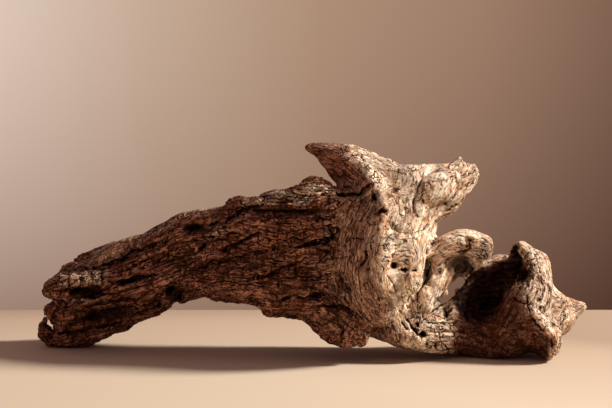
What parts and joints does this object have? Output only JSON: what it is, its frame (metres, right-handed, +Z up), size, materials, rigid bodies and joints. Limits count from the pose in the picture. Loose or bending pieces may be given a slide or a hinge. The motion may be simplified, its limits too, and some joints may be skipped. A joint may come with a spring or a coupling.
{
  "type": "dry root",
  "caption": "Weathered dry root lying on its side: a long grooved arm, a horned trunk, a small loop and a broad base.",
  "frame": {"origin": "centre of the bounding box at the surface that the root lies on", "axes": "+X along the root's length from the arm's foot to the base's lobe, +Y from the front to the back, +Z up"},
  "size_m": [0.4612, 0.1434, 0.175],
  "materials": {
    "root_wood": "dry weathered grain, matte"
  },
  "bodies": {
    "root": {"dry_root": "root_wood"}
  },
  "joints": []
}
